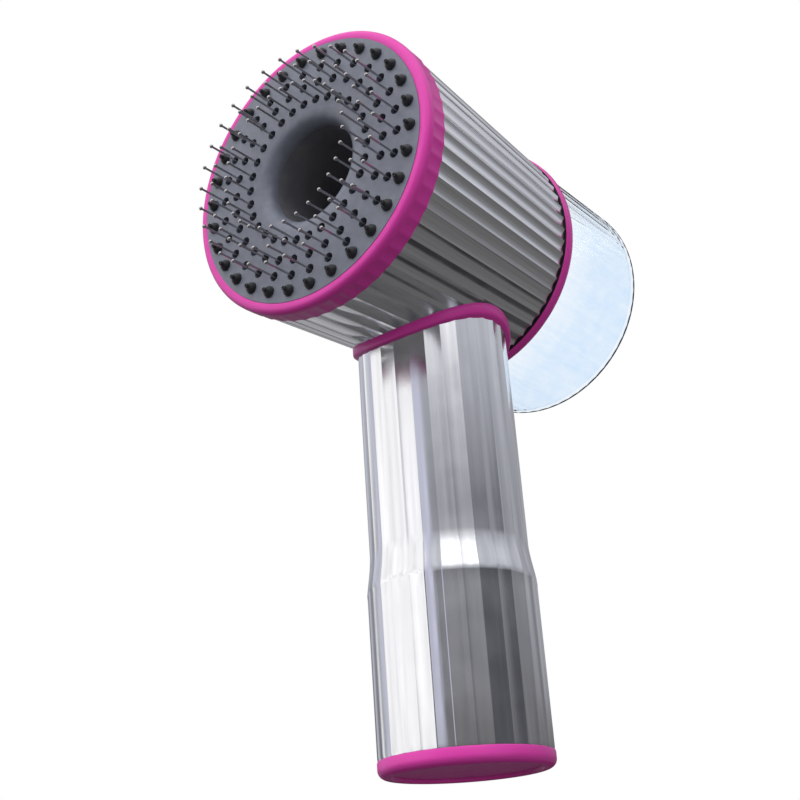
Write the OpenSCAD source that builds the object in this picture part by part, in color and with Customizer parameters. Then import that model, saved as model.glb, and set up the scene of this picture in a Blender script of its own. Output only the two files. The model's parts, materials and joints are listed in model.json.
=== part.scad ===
// Handheld bath sprayer with a pin brush head, a rear liquid tank and a battery handle.
// Millimetres, +Z up. The handle stands on Z, the head lies along Y and its face looks toward -Y.
// Origin: centre of the flat ring under the end cap.

/* [Head] */
// Height of the head's underside above the base
under_z = 112.2; // [110:0.2:145]
// Outer radius of the front ring
head_r = 42; // [40:0.5:51]
// Distance from the handle axis forward to the brush face
face_y = 52.2; // [46:0.2:62]
// Distance from the handle axis back to the end of the drum
drum_back = 20.2; // [20:0.2:25]
// Outer radius of the drum at its back end
drum_back_r = 37.8; // [36:0.2:41]
// Wall of the drum
drum_wall = 2; // [1.6:0.1:2.6]
// Flutes around the drum, the rings and the tank
drum_flutes = 60; // [40:1:80]

/* [Brush face] */
// Radius of the face plate
face_r = 39.1; // [37:0.1:39.6]
// Thickness of the face plate
face_t = 3; // [2.4:0.1:3.6]
// Pins in each ring, and spray nozzles
ring_count = 30; // [20:1:36]
// Radius of the inner ring of pins
pin_ring_inner = 21.4; // [19:0.1:23]
// Radius of the middle ring of pins
pin_ring_middle = 27; // [25:0.1:29]
// Radius of the outer ring of pins
pin_ring_outer = 31.6; // [30:0.1:31.8]
// Length of a pin above the face
pin_reach = 10; // [8:0.1:12]
// Radius of the ring of spray nozzles
nozzle_ring = 36; // [35.6:0.1:36.2]
// Height of a nozzle above the face
nozzle_h = 2.4; // [1.5:0.1:4]
// Inner radius of the funnel
funnel_r = 14.5; // [12:0.1:15]
// Radius of the flare where the funnel meets the face
flare_r = 4.1; // [3:0.1:4.4]

/* [Tank] */
// Outer radius of the tank
tank_r = 37.4; // [36:0.1:44]
// Distance from the handle axis back to the end of the tank
tank_back = 64.6; // [55:0.2:78]
// Wall of the tank
tank_wall = 2; // [1.6:0.1:2.4]

/* [Handle] */
// Outer radius of the upper handle
grip_r = 21.7; // [21.4:0.1:23]
// Outer radius of the lower handle
base_r = 22.5; // [22.4:0.1:25]
// Height of the crease between the lower handle and its flare
crease_z = 45.6; // [38:0.2:60]
// Height of the flare above the crease
flare_h = 11; // [8:0.5:16]
// Flutes around the handle
grip_flutes = 30; // [20:1:40]
// Height of the end cap that shows
cap_h = 4; // [3.4:0.1:4.8]

/* [Drive] */
// Diameter of a battery cell
cell_d = 18.4; // [14:0.1:18.6]
// Length of a battery cell
cell_l = 65; // [50:0.5:65.5]
// Diameter of the pump motor
motor_d = 20.4; // [15.5:0.1:20.6]
// Length of the pump motor
motor_l = 21; // [18:0.5:23]
// Outer diameter of the water tubes
tube_d = 4; // [3.4:0.1:4]

/* [Hidden] */

$fn = 96;

// Clearances
seat = 0.05;        // two fixed faces that rest on each other
fit = 0.1;          // one fixed piece inside another
slip = 0.3;         // a sliding piece beside a fixed one
shaft_gap = 0.05;   // a turning shaft in its bush
cut = 1;            // how far a cutter stands past the face it opens

// Head: s is the distance along the head axis, forward of the handle axis
head_z = under_z + head_r;          // height of the head axis above the base
face_s = face_y;
ring_h = 6.4;                       // length of the front ring
drum_front = face_s - ring_h;
drum_front_r = head_r - 0.5;
drum_len = drum_front + drum_back;
flute_depth = 0.45;
flute_steps = 3;                    // points along one flute of the drum
ring_back_h = 3.2;                  // length of the rear ring
ring_back_s = -drum_back - ring_back_h;

// Face
plate_back = face_s - face_t;
pin_rings = [pin_ring_inner, pin_ring_middle, pin_ring_outer];
pin_r = 0.3;
pin_tip_r = 0.55;
pin_hole_r = 1.2;
nozzle_base_r = 1.7;
nozzle_tip_r = 0.9;
mat_t = 1.5;                        // rubber ring that carries the nozzles
mat_inner = nozzle_ring - 2.7;
mat_outer = nozzle_ring + 2.3;
funnel_wall = 1.8;
throat_back = plate_back - 5.6;     // where the face plate's throat meets the funnel tube

// Pin carrier
carrier_t = 2.4;
carrier_front = plate_back - 1.2;
carrier_back = carrier_front - carrier_t;
carrier_outer = pin_ring_outer + 0.8;
pin_travel = pin_reach + 0.5;

// Manifold
manifold_front = plate_back - mat_t;
manifold_h = 6.1;
manifold_back = manifold_front - manifold_h;
manifold_inner = carrier_outer + slip + fit;
manifold_outer = nozzle_ring + 1.9;

// Inner frame and funnel floor
frame_front = 12;
frame_t = 3;
frame_back = frame_front - frame_t;
funnel_floor_s = 15;
flange_r = funnel_r + 5;
jet_r = 6;
frame_bolt_r = funnel_r + 3.4;

// Slider on top of the drum
arm_w = 8;
arm_y = carrier_outer - 6.4;        // underside of the arm, above the head axis
arm_t = 4;
post_out = 0.6;                     // how far the arm's post stands out of the drum
post_s = frame_front;               // back face of the post
post_l = 10;
slot_back = post_s - pin_travel - 0.5;
slot_front = post_s + post_l + 0.5;
knob_w = 14;
knob_h = 3.4;
knob_back = slot_back;
knob_front = slot_front + pin_travel;

// Tank and socket
socket_outer = drum_back_r - drum_wall - 2 * fit;
socket_wall = 1.8;
socket_r = socket_outer - socket_wall;
socket_front = -7;
socket_floor = -9;
neck_ring_r = socket_r - 2 * fit;   // outer radius of the tank's neck
neck_ring_in = neck_ring_r - tank_wall;
neck_ring_s = socket_floor - 2.5;   // front edge of the tank's neck
seal_r = 0.55;
seal_s = -drum_back + 3.4;
closure_t = 2.7;
valve_r = 4;
cage_h = 6;                         // tube behind the closure that holds the valve
cage_floor = 1;
cage_bore = 6.4;
poppet_t = 1.6;
spring_wire = 0.5;

// Handle
wall = 2.5;
bore_top_r = grip_r - wall;
bore_low_r = base_r - wall + 0.1;
neck_r = bore_top_r - fit;          // stub of the drum inside the handle
neck_in = 15;
stub_drop = 5.2;                    // from the drum's widest radius to the stub's end
neck_z = head_z - drum_front_r - stub_drop;
flange_h = 3.4;
collar_t = 3;
collar_r = grip_r + 1.3;
grip_depth = 0.4;
grip_waist = 0.4;                    // how much slimmer the upper handle is above its flare
foot_in = 0.3;                       // how much slimmer the handle is at the end cap
grip_steps = 4;
screw_ring = (neck_r + neck_in) / 2;

// Battery
cap_r = base_r - 0.2;
edge = 3.2;                         // rounding of the end cap's rim
recess_r = base_r - 4.5;            // shallow recess under the end cap
recess_h = 1.4;
spigot_h = 5;
cap_top = cap_h + spigot_h;
contact_t = 0.6;
cell_z = cap_top + contact_t + 0.4;
cell_top = cell_z + cell_l;
spring_h = 2.2;
holder_z = cell_top + spring_h;
holder_t = 2;
cell_x = cell_d / 2 + 0.15;

// Pump and motor
bracket_z = holder_z + holder_t;
bracket_t = 2.5;
pump_z = bracket_z + bracket_t;
pump_r = 12;
pump_h = 10.5;
lid_z = pump_z + pump_h;
lid_t = 2;
motor_z = lid_z + lid_t;
port_r = motor_d / 2 + tube_d / 2 + 0.4;    // distance of the tubes from the handle axis
rotor_r = 8;
barb_r = tube_d / 2 - 0.55;
tube_in = tube_d / 2 - 0.5;
tee_y = 1 - nozzle_ring;                    // height of the tee and manifold tube, from the head axis
tee_z = head_z + tee_y;
tube_end = 0.1;                             // gap between a tube's end and the collar it meets
feed_l = 21;                                // jet feed, from the head axis down to its collar
port_drop = 20;                             // socket port, below the head axis
port_boss_r = 3;
tee_arm = 4;                                // half length of the tee, without its barbs

// Board and button
board_y = 13.2;
board_t = 1.6;
board_w = 22;
board_z = pump_z + 0.5;
board_h = 20;
button_z = board_z + 13.5;
button_r = 6;
button_travel = 1;
button_y = grip_r + 1;
switch_h = 1.7;

// ---------- helpers ----------

// Head frame: z runs forward along the head axis and y runs up
module head() {
    translate([0, 0, head_z]) rotate([90, 0, 0]) children();
}

// Outer radius of the drum at a place along the head axis
function drum_r(s) = drum_back_r + (drum_front_r - drum_back_r) * (s + drum_back) / drum_len;

module pipe(outer, inner, h) {
    difference() {
        cylinder(r = outer, h = h);
        translate([0, 0, -cut]) cylinder(r = inner, h = h + 2 * cut);
    }
}

module around(count, radius, phase = 0) {
    for (i = [0:count - 1])
        rotate([0, 0, phase + 360 * i / count]) translate([radius, 0, 0]) children();
}

// One ring of points with hollow flutes between sharp ridges
function fluted_ring(z, r, n, depth, steps) = [
    for (i = [0:n * steps - 1])
        let (a = 360 * i / (n * steps), rr = r - depth * sin(180 * (i % steps) / steps))
            [rr * cos(a), rr * sin(a), z]
];

// Fluted solid through a list of [height, radius] levels
module fluted(levels, n, depth, steps) {
    count = n * steps;
    last = len(levels) - 1;
    points = [for (l = levels) each fluted_ring(l[0], l[1], n, depth, steps)];
    sides = [
        for (k = [0:last - 1]) for (i = [0:count - 1])
            let (j = (i + 1) % count)
                [k * count + i, (k + 1) * count + i, (k + 1) * count + j, k * count + j]
    ];
    bottom = [for (i = [0:count - 1]) i];
    top = [for (i = [count - 1:-1:0]) last * count + i];
    polyhedron(points, concat(sides, [bottom, top]));
}

// The space taken by the drum and the rear ring, grown by a gap
module drum_space(gap) {
    head() {
        translate([0, 0, -drum_back])
            cylinder(r1 = drum_back_r + gap, r2 = drum_front_r + gap, h = drum_len, $fn = 180);
        translate([0, 0, ring_back_s - cut])
            cylinder(r = drum_back_r + 0.8 + gap, h = ring_back_h + cut, $fn = 180);
    }
}

// Round wire wound up a spring
module spring(radius, wire, height, turns) {
    steps = 14;
    sides = 6;
    total = turns * steps;
    rise = height - 2 * wire;
    points = [
        for (k = [0:total]) for (m = [0:sides - 1])
            let (a = 360 * k / steps, b = 360 * m / sides, rr = radius + wire * cos(b))
                [rr * cos(a), rr * sin(a), wire + rise * k / total + wire * sin(b)]
    ];
    sidefaces = [
        for (k = [0:total - 1]) for (m = [0:sides - 1])
            let (n = (m + 1) % sides)
                [k * sides + m, k * sides + n, (k + 1) * sides + n, (k + 1) * sides + m]
    ];
    start = [for (m = [sides - 1:-1:0]) m];
    end = [for (m = [0:sides - 1]) total * sides + m];
    polyhedron(points, concat(sidefaces, [start, end]));
}

// Screw with its head at z = 0 and its shank along +z
module screw(shank_r, head_radius, length) {
    translate([0, 0, -1.4]) difference() {
        cylinder(r = head_radius, h = 1.4, $fn = 32);
        translate([0, 0, -cut]) cylinder(r = head_radius * 0.45, h = cut + 0.7, $fn = 6);
    }
    cylinder(r = shank_r, h = length, $fn = 32);
}

// ---------- head ----------

module drum_shell() {
    color("silver") difference() {
        union() {
            head() translate([0, 0, -drum_back]) fluted(
                [[0, drum_back_r], [drum_len, drum_front_r]], drum_flutes, flute_depth, flute_steps);
            translate([0, 0, neck_z]) cylinder(r = neck_r, h = head_z - neck_z);
        }
        head() translate([0, 0, -drum_back - cut]) cylinder(
            r1 = drum_r(-drum_back - cut) - drum_wall,
            r2 = drum_r(drum_front + cut) - drum_wall, h = drum_len + 2 * cut);
        translate([0, 0, neck_z - cut]) cylinder(r = neck_in, h = head_z - neck_z);
        translate([0, 0, neck_z - cut]) around(4, screw_ring, 45) cylinder(r = 1.1, h = 9 + cut, $fn = 32);
        head() translate([-arm_w / 2 - slip, 0, slot_back])
            cube([arm_w + 2 * slip, head_r + 5, slot_front - slot_back]);
    }
}

module front_ring() {
    ledge = 0.8;
    spigot_l = 4;
    spigot_r = drum_r(drum_front - spigot_l) - drum_wall - fit;
    color("mediumvioletred") head() rotate_extrude($fn = 180) difference() {
        union() {
            translate([face_r - ledge, drum_front]) square([head_r - face_r + ledge, ring_h - 1.4]);
            translate([face_r, face_s - 2]) square([head_r - face_r - 1.4, 2]);
            translate([head_r - 1.4, face_s - 1.4]) circle(r = 1.4, $fn = 32);
            translate([spigot_r - 0.8, drum_front - spigot_l]) square([0.8, spigot_l + 0.5]);
        }
        translate([face_r - 3, plate_back - seat]) square([3 + fit, face_t + 2 * cut]);
    }
}

module face_plate() {
    bend_s = face_s - flare_r;
    color("dimgray") head() difference() {
        union() {
            translate([0, 0, plate_back]) cylinder(r = face_r, h = face_t, $fn = 180);
            translate([0, 0, throat_back]) cylinder(r = funnel_r + funnel_wall, h = plate_back - throat_back);
        }
        translate([0, 0, throat_back - cut]) cylinder(r = funnel_r, h = face_s - throat_back + 2 * cut);
        rotate_extrude() difference() {
            translate([0, bend_s]) square([funnel_r + flare_r, flare_r + cut]);
            translate([funnel_r + flare_r, bend_s]) circle(r = flare_r, $fn = 96);
        }
        for (r = pin_rings)
            translate([0, 0, plate_back - cut]) around(ring_count, r, 180 / ring_count)
                cylinder(r = pin_hole_r, h = face_t + 2 * cut, $fn = 24);
        translate([0, 0, plate_back - cut]) around(ring_count, nozzle_ring, 180 / ring_count)
            cylinder(r = nozzle_base_r + fit, h = face_t + 2 * cut, $fn = 24);
    }
}

module funnel_tube() {
    color("dimgray") head() difference() {
        union() {
            translate([0, 0, frame_front])
                cylinder(r = funnel_r + funnel_wall, h = throat_back - frame_front);
            translate([0, 0, frame_front]) cylinder(r = flange_r, h = 2);
        }
        translate([0, 0, funnel_floor_s + 2]) cylinder(r = funnel_r, h = throat_back - funnel_floor_s);
        translate([0, 0, frame_front - cut]) cylinder(r = funnel_r, h = funnel_floor_s - frame_front + cut);
        cylinder(r = jet_r + fit, h = throat_back);
        translate([0, 0, frame_front - cut]) around(4, frame_bolt_r, 45)
            cylinder(r = 1.1 + fit, h = 2 + 2 * cut, $fn = 32);
        tube_notch();
    }
}

// Room for the jet feed through the funnel flange and the frame
module tube_notch() {
    translate([-3, -head_r, frame_back - cut]) cube([6, head_r - jet_r + 1, 14.9 - frame_back + cut]);
}

module spray_nozzles() {
    color("black") head() {
        translate([0, 0, manifold_front]) pipe(mat_outer, mat_inner, mat_t);
        translate([0, 0, plate_back - 0.2]) around(ring_count, nozzle_ring, 180 / ring_count) {
            cylinder(r = nozzle_base_r, h = face_t + 0.2, $fn = 24);
            translate([0, 0, face_t + 0.2])
                cylinder(r1 = nozzle_base_r, r2 = nozzle_tip_r, h = nozzle_h, $fn = 24);
        }
    }
}

module manifold() {
    channel_wall = 1.1;
    color("gainsboro") head() difference() {
        union() {
            translate([0, 0, manifold_back]) pipe(manifold_outer, manifold_inner, manifold_h - seat);
            translate([0, tee_y, manifold_back - 4]) cylinder(r = barb_r, h = 5, $fn = 32);
        }
        translate([0, 0, manifold_back + 1.2])
            pipe(manifold_outer - channel_wall, manifold_inner + channel_wall, manifold_h);
        translate([0, tee_y, manifold_back - 5]) cylinder(r = 0.8, h = 8, $fn = 24);
    }
}

module pin_carrier() {
    hub_in = funnel_r + funnel_wall + slip;
    color("gray") head() difference() {
        union() {
            translate([0, 0, carrier_back]) cylinder(r = carrier_outer, h = carrier_t);
            translate([0, 0, carrier_back - 6]) cylinder(r = hub_in + 1.6, h = 6.5);
        }
        translate([0, 0, carrier_back - 7]) cylinder(r = hub_in, h = carrier_t + 9);
    }
}

module brush_pins() {
    color("darkgray") head() for (r = pin_rings)
        translate([0, 0, carrier_front]) around(ring_count, r, 180 / ring_count) {
            length = face_s + pin_reach - carrier_front - pin_tip_r;
            cylinder(r = pin_r, h = length, $fn = 16);
            translate([0, 0, length]) sphere(r = pin_tip_r, $fn = 20);
        }
}

module slider_arm() {
    post_top = drum_r(post_s) + post_out;
    color("gray") head() difference() {
        union() {
            translate([-arm_w / 2, arm_y, post_s]) cube([arm_w, arm_t, carrier_back - post_s]);
            translate([-arm_w / 2, arm_y, post_s]) cube([arm_w, post_top - arm_y, post_l]);
        }
        translate([0, arm_y - cut, post_s + post_l / 2]) rotate([-90, 0, 0]) {
            cylinder(r = 2.6, h = cut + 1.6, $fn = 32);
            cylinder(r = 1.2 + fit, h = head_r, $fn = 32);
        }
    }
}

module knob_outline() {
    corner = 5;
    translate([0, 0, knob_back + corner]) rotate([-90, 0, 0]) hull()
        for (x = [-knob_w / 2 + corner, knob_w / 2 - corner])
            for (y = [0, -(knob_front - knob_back - 2 * corner)])
                translate([x, y, 0]) cylinder(r = corner, h = head_r + 6, $fn = 32);
}

module slider_knob() {
    post_top = drum_r(post_s) + post_out + seat;
    under = slip + 0.1;
    knob_middle = (knob_back + knob_front) / 2;
    color("mediumvioletred") head() difference() {
        intersection() {
            knob_outline();
            translate([0, 0, -drum_back]) cylinder(
                r1 = drum_back_r + knob_h, r2 = drum_front_r + knob_h, h = drum_len, $fn = 180);
        }
        translate([0, 0, -drum_back]) cylinder(
            r1 = drum_back_r + under, r2 = drum_front_r + under, h = drum_len, $fn = 180);
        translate([-arm_w / 2 - fit, 0, post_s - fit]) cube([arm_w + 2 * fit, post_top, post_l + 2 * fit]);
        for (i = [-2:2])
            translate([-knob_w / 2 - cut, drum_r(knob_middle) + knob_h + 0.3, knob_middle + 3 * i])
                rotate([0, 90, 0]) cylinder(r = 0.8, h = knob_w + 2 * cut, $fn = 24);
        translate([0, post_top - cut, post_s + post_l / 2]) rotate([-90, 0, 0])
            cylinder(r = 1, h = 2.6, $fn = 32);
    }
}

module knob_screw() {
    color("dimgray") head() translate([0, arm_y + 1.6, post_s + post_l / 2]) rotate([-90, 0, 0])
        screw(0.98, 2.4, drum_r(post_s) + post_out + 1.2 - arm_y - 1.6);
}

module inner_frame() {
    color("gainsboro") head() difference() {
        translate([0, 0, frame_back])
            cylinder(r = drum_r(frame_back) - drum_wall - fit, h = frame_t - seat);
        cylinder(r = jet_r + fit, h = frame_front + cut);
        translate([0, 0, frame_back - cut]) around(4, frame_bolt_r, 45)
            cylinder(r = 1.1, h = frame_t + 2 * cut, $fn = 32);
        translate([-arm_w / 2 - 1, arm_y - 1, frame_back - cut]) cube([arm_w + 2, head_r, frame_t + 2 * cut]);
        translate([0, 0, frame_back - cut]) around(6, 27.5, 0) cylinder(r = 5, h = frame_t + 2 * cut);
        tube_notch();
    }
}

module frame_screws() {
    color("dimgray") head() translate([0, 0, frame_front + 2 + seat]) around(4, frame_bolt_r, 45)
        rotate([180, 0, 0]) screw(1.05, 1.5, 5);
}

module jet_nozzle() {
    feed_s = port_r;
    color("black") head() difference() {
        union() {
            translate([0, 0, frame_back]) cylinder(r = jet_r, h = 10);
            translate([0, 0, frame_back + 10]) cylinder(r1 = jet_r, r2 = 2.4, h = 3);
            translate([0, 0, feed_s]) rotate([90, 0, 0]) cylinder(r = 2, h = feed_l, $fn = 32);
            translate([0, 0, feed_s]) rotate([90, 0, 0]) cylinder(r = barb_r, h = feed_l + 3.5, $fn = 32);
        }
        translate([0, 0, feed_s]) cylinder(r = 0.9, h = 20, $fn = 24);
        translate([0, 0, feed_s]) rotate([90, 0, 0]) cylinder(r = 0.8, h = feed_l + 5, $fn = 24);
    }
}

module tube(length) {
    color("aliceblue") pipe(tube_d / 2, tube_in, length, $fn = 32);
}

module jet_tube() {
    low = tee_z + tee_arm + tube_end;
    translate([0, -port_r, low]) tube(head_z - feed_l - tube_end - low);
}

module tee_fitting() {
    color("white") difference() {
        union() {
            translate([0, -port_r, tee_z - tee_arm]) cylinder(r = 2.1, h = 2 * tee_arm, $fn = 32);
            translate([0, -port_r, tee_z - 2 * tee_arm]) cylinder(r = barb_r, h = 4 * tee_arm, $fn = 32);
            translate([0, -port_r, tee_z]) rotate([90, 0, 0]) cylinder(r = 2.1, h = tee_arm, $fn = 32);
            translate([0, -port_r, tee_z]) rotate([90, 0, 0]) cylinder(r = barb_r, h = 2 * tee_arm, $fn = 32);
        }
        translate([0, -port_r, tee_z - 2 * tee_arm - cut])
            cylinder(r = 0.8, h = 4 * tee_arm + 2 * cut, $fn = 24);
        translate([0, -port_r, tee_z]) rotate([90, 0, 0])
            cylinder(r = 0.8, h = 2 * tee_arm + cut, $fn = 24);
    }
}

module manifold_tube() {
    start = port_r + tee_arm + tube_end;
    head() translate([0, tee_y, start]) tube(manifold_back - tube_end - start);
}

// ---------- tank end ----------

module rear_ring() {
    inner = neck_ring_r + slip;
    color("mediumvioletred") head() rotate_extrude($fn = 180) polygon([
        [inner, -drum_back - seat],
        [drum_back_r, -drum_back - seat],
        [drum_back_r + 0.6, -drum_back - 1.2],
        [drum_back_r + 0.7, ring_back_s + 0.5],
        [drum_back_r + 0.3, ring_back_s],
        [inner, ring_back_s]
    ]);
}

module tank_socket() {
    color("gainsboro") difference() {
        head() union() {
            difference() {
                translate([0, 0, -drum_back]) cylinder(r = socket_outer, h = socket_front + drum_back);
                translate([0, 0, -drum_back - cut])
                    cylinder(r = socket_r, h = socket_floor + drum_back + cut);
                translate([0, 0, seal_s - seal_r - fit])
                    cylinder(r = socket_r + 1, h = 2 * (seal_r + fit));
            }
            translate([0, 0, neck_ring_s]) cylinder(r = 1.5, h = socket_floor - neck_ring_s + 0.5, $fn = 32);
            translate([-port_r, -port_drop, socket_front - 0.5])
                cylinder(r = port_boss_r, h = 9.5, $fn = 32);
            translate([-port_r, -port_drop, 0]) rotate([90, 0, 0])
                cylinder(r = barb_r, h = port_boss_r + 4, $fn = 32);
        }
        head() translate([-port_r, -port_drop, socket_floor - cut])
            cylinder(r = 0.8, h = 10, $fn = 24);
        head() translate([-port_r, -port_drop, 0]) rotate([90, 0, 0])
            cylinder(r = 0.8, h = port_boss_r + 5, $fn = 24);
    }
}

module socket_seal() {
    color("black") head() translate([0, 0, seal_s]) rotate_extrude()
        translate([neck_ring_r + seat + seal_r, 0]) circle(r = seal_r, $fn = 24);
}

module tank() {
    body_front = ring_back_s - slip;
    rim = 1.6;
    color([0.84, 0.92, 1, 0.4]) head() difference() {
        union() {
            fluted([[-tank_back, tank_r - rim], [-tank_back + rim * 0.3, tank_r - rim * 0.3],
                [-tank_back + rim, tank_r], [body_front, tank_r]], drum_flutes, 0.25, flute_steps);
            translate([0, 0, body_front - cut]) cylinder(r = neck_ring_r, h = neck_ring_s - body_front + cut);
        }
        translate([0, 0, -tank_back + tank_wall])
            cylinder(r = tank_r - tank_wall - 0.2, h = body_front - tank_wall + tank_back - tank_wall);
        translate([0, 0, body_front - tank_wall - cut]) cylinder(r = neck_ring_in, h = 30);
    }
}

module tank_closure() {
    back = neck_ring_s - closure_t - cage_h;
    color("white") head() difference() {
        union() {
            translate([0, 0, neck_ring_s - closure_t]) cylinder(r = neck_ring_in - fit, h = closure_t);
            translate([0, 0, back]) cylinder(r = valve_r + 1.6, h = cage_h + 0.5);
        }
        translate([0, 0, back + cage_floor]) cylinder(r = valve_r + slip, h = cage_bore);
        translate([0, 0, back - cut]) cylinder(r = 1.5, h = cage_h + 20, $fn = 32);
        translate([0, 0, back - cut]) around(4, 3, 45) cylinder(r = 0.7, h = 3, $fn = 24);
        translate([0, 0, back + cage_floor + cage_bore - cut]) cylinder(r = 2.6, h = 20, $fn = 48);
    }
}

module valve_poppet() {
    top = neck_ring_s - closure_t - cage_h + cage_floor + cage_bore - seat;
    color("mediumvioletred") head() {
        translate([0, 0, top - poppet_t]) cylinder(r = valve_r, h = poppet_t);
        translate([0, 0, top - 5]) cylinder(r = 1.2, h = 5 - poppet_t + 0.1, $fn = 32);
    }
}

module valve_spring() {
    back = neck_ring_s - closure_t - cage_h + cage_floor;
    color("gray") head() translate([0, 0, back + seat])
        spring(valve_r - 1.2, spring_wire / 2, cage_bore - poppet_t - 3 * seat, 4);
}

// ---------- handle ----------

module handle_shell() {
    color("silver") difference() {
        fluted([[cap_h, base_r - foot_in], [crease_z, base_r], [crease_z + flare_h, grip_r - grip_waist],
            [head_z - 25, grip_r]], grip_flutes, grip_depth, grip_steps);
        difference() {
            union() {
                cylinder(r = bore_low_r, h = crease_z - 2);
                cylinder(r = bore_top_r, h = head_z);
            }
            translate([0, 0, neck_z - flange_h - seat]) pipe(bore_top_r + cut, neck_in, flange_h);
        }
        translate([0, 0, neck_z - flange_h - cut]) around(4, screw_ring, 45)
            cylinder(r = 1.1 + fit, h = flange_h + 2 * cut, $fn = 32);
        translate([0, 0, button_z]) rotate([-90, 0, 0]) cylinder(r = button_r + slip, h = grip_r + 5);
        drum_space(collar_t);
    }
}

module handle_collar() {
    reach = head_z - drum_r(drum_front) - 8;
    color("mediumvioletred") intersection() {
        difference() {
            translate([0, 0, reach]) pipe(collar_r, neck_r + fit, 60, $fn = 128);
            drum_space(seat);
        }
        drum_space(collar_t - seat);
    }
}

module neck_screws() {
    color("dimgray") translate([0, 0, neck_z - flange_h - seat]) around(4, screw_ring, 45)
        screw(1.05, 1.9, flange_h + 7);
}

module end_cap() {
    groove_z = cap_h + 2;
    color("mediumvioletred") rotate_extrude($fn = 180) difference() {
        union() {
            square([cap_r - edge, cap_h - seat]);
            translate([0, edge]) square([cap_r, cap_h - seat - edge]);
            intersection() {
                translate([cap_r - edge, edge]) circle(r = edge, $fn = 64);
                square([cap_r, edge]);
            }
            translate([0, cap_h - 1]) square([bore_low_r - slip, spigot_h + 1]);
        }
        translate([0, -cut]) square([recess_r, cut + recess_h]);
        translate([0, cap_h]) square([bore_low_r - 4.5, spigot_h - 1.5]);
        translate([bore_low_r - slip - 1.7, groove_z]) square([3, 2.1]);
    }
}

module cap_seal() {
    color("black") translate([0, 0, cap_h + 3.05]) rotate_extrude()
        translate([bore_low_r - seat - 0.95, 0]) circle(r = 0.95, $fn = 32);
}

module contact_plate() {
    color("gold") translate([0, 0, cap_top + seat]) cylinder(r = bore_top_r - 2, h = contact_t);
}

// ---------- battery ----------

module battery_holder() {
    color("darkslategray") difference() {
        union() {
            translate([0, 0, holder_z]) cylinder(r = bore_top_r - slip, h = holder_t);
            for (side = [0, 180])
                rotate([0, 0, side]) translate([-2.5, cell_d / 2 - 1.6, cell_z + 1])
                    cube([5, 5, holder_z - cell_z - 0.5]);
            translate([0, 0, cell_z + 1]) cylinder(r = bore_top_r - slip, h = 3);
        }
        for (x = [-cell_x, cell_x])
            translate([x, 0, cell_z - cut])
                cylinder(r = cell_d / 2 + fit, h = cell_l + spring_h + cut - seat);
    }
}

module battery_cells() {
    for (x = [-cell_x, cell_x]) translate([x, 0, cell_z]) {
        color("steelblue") cylinder(r = cell_d / 2, h = cell_l - 1);
        color("silver") translate([0, 0, cell_l - 1.2]) cylinder(r = 3, h = 1.2);
    }
}

module cell_springs() {
    for (x = [-cell_x, cell_x])
        color("gray") translate([x, 0, cell_top + seat]) spring(3, 0.3, spring_h - 2 * seat, 2);
}

// ---------- pump ----------

module pump_bracket() {
    color("gainsboro") difference() {
        translate([0, 0, bracket_z + seat]) cylinder(r = bore_top_r - fit, h = bracket_t - seat);
        for (side = [-1, 1])
            translate([side * 15, -6, bracket_z - cut]) cylinder(r = 2.5, h = bracket_t + 2 * cut);
    }
}

module pump_outline(h) {
    cylinder(r = pump_r, h = h);
    for (a = [180, 270]) hull() {
        cylinder(r = 3, h = h, $fn = 32);
        rotate([0, 0, a]) translate([port_r, 0, 0]) cylinder(r = 3, h = h, $fn = 32);
    }
}

module pump_housing() {
    color("dimgray") difference() {
        translate([0, 0, pump_z + seat]) pump_outline(pump_h - 2 * seat);
        translate([0, 0, pump_z + 2]) cylinder(r = rotor_r + slip, h = pump_h);
        for (a = [180, 270]) rotate([0, 0, a]) {
            translate([port_r, 0, pump_z + 5]) cylinder(r = 1, h = pump_h, $fn = 24);
            translate([rotor_r - 1, 0, pump_z + 6]) rotate([0, 90, 0])
                cylinder(r = 1, h = port_r - rotor_r + 1, $fn = 24);
        }
    }
}

module pump_lid() {
    color("gray") difference() {
        translate([0, 0, lid_z]) union() {
            pump_outline(lid_t - seat);
            for (a = [180, 270]) rotate([0, 0, a]) translate([port_r, 0, 0])
                cylinder(r = barb_r, h = lid_t + 4, $fn = 32);
        }
        translate([0, 0, lid_z - cut]) cylinder(r = 1 + shaft_gap, h = lid_t + 2 * cut, $fn = 32);
        for (a = [180, 270]) rotate([0, 0, a]) translate([port_r, 0, lid_z - cut])
            cylinder(r = 0.8, h = lid_t + 6, $fn = 24);
    }
}

module pump_rotor() {
    vane_h = 6;
    base = pump_z + 2 + slip;
    color("white") difference() {
        translate([0, 0, base]) union() {
            cylinder(r = rotor_r - 0.2, h = 1.5);
            cylinder(r = 2.6, h = vane_h + 1.5);
            around(6, 4.6) translate([-2.4, -0.5, 1]) cube([5, 1, vane_h]);
        }
        translate([0, 0, base - cut]) cylinder(r = 1, h = vane_h + 4, $fn = 32);
    }
}

module motor_shaft() {
    color("gray") translate([0, 0, pump_z + 2 + slip])
        cylinder(r = 1, h = motor_z + 5 - pump_z - 2, $fn = 32);
}

module pump_motor() {
    color("silver") difference() {
        translate([0, 0, motor_z]) union() {
            cylinder(r = motor_d / 2, h = motor_l - 1.5);
            translate([0, 0, motor_l - 1.6]) cylinder(r = motor_d / 2 - 3, h = 1.6);
        }
        translate([0, 0, motor_z - cut]) cylinder(r = 1 + shaft_gap, h = 7.5, $fn = 32);
    }
}

module inlet_tube() {
    low = motor_z + tube_end;
    translate([-port_r, 0, low]) tube(head_z - port_drop - port_boss_r - tube_end - low);
}

module outlet_tube() {
    low = motor_z + tube_end;
    translate([0, -port_r, low]) tube(tee_z - tee_arm - tube_end - low);
}

// ---------- controls ----------

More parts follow.
